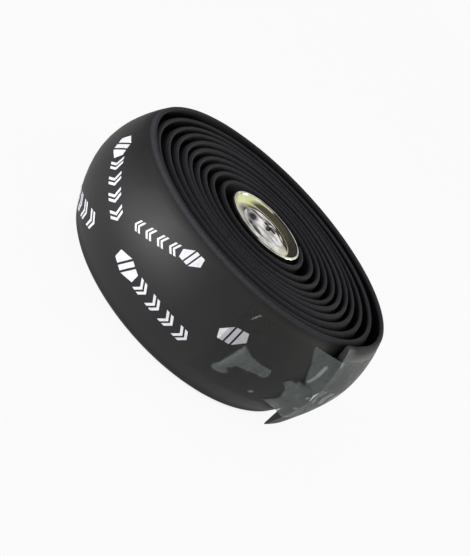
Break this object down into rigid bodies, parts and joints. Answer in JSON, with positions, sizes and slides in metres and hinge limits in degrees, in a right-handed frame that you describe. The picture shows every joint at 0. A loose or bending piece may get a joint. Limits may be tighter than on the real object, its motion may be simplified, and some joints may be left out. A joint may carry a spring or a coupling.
{
  "type": "handlebar tape roll",
  "caption": "Roll of black foam bicycle handlebar tape, wound from a single strip, with a chromed bar plug in its core and its end held by clear film",
  "frame": {"origin": "middle of the bounding box's footprint, on the surface that the roll stands on", "axes": "+Z is the roll's axis and points to the end that shows the plug; the tape's outer end is cut at 45 degrees between +X and +Y, and the tape winds outwards clockwise seen from +Z"},
  "size_m": [0.088, 0.0904, 0.0327],
  "materials": {
    "black_foam": "satin closed-cell foam with a smooth skin and pale printed marks",
    "chromed_plastic": "polished chrome plating on moulded plastic",
    "clear_film": "clear glossy adhesive film",
    "white_print": "white ink printed on the foam"
  },
  "bodies": {
    "root": {"tape_roll": "black_foam", "end_plug": "chromed_plastic", "clear_strip": "clear_film"}
  },
  "joints": []
}
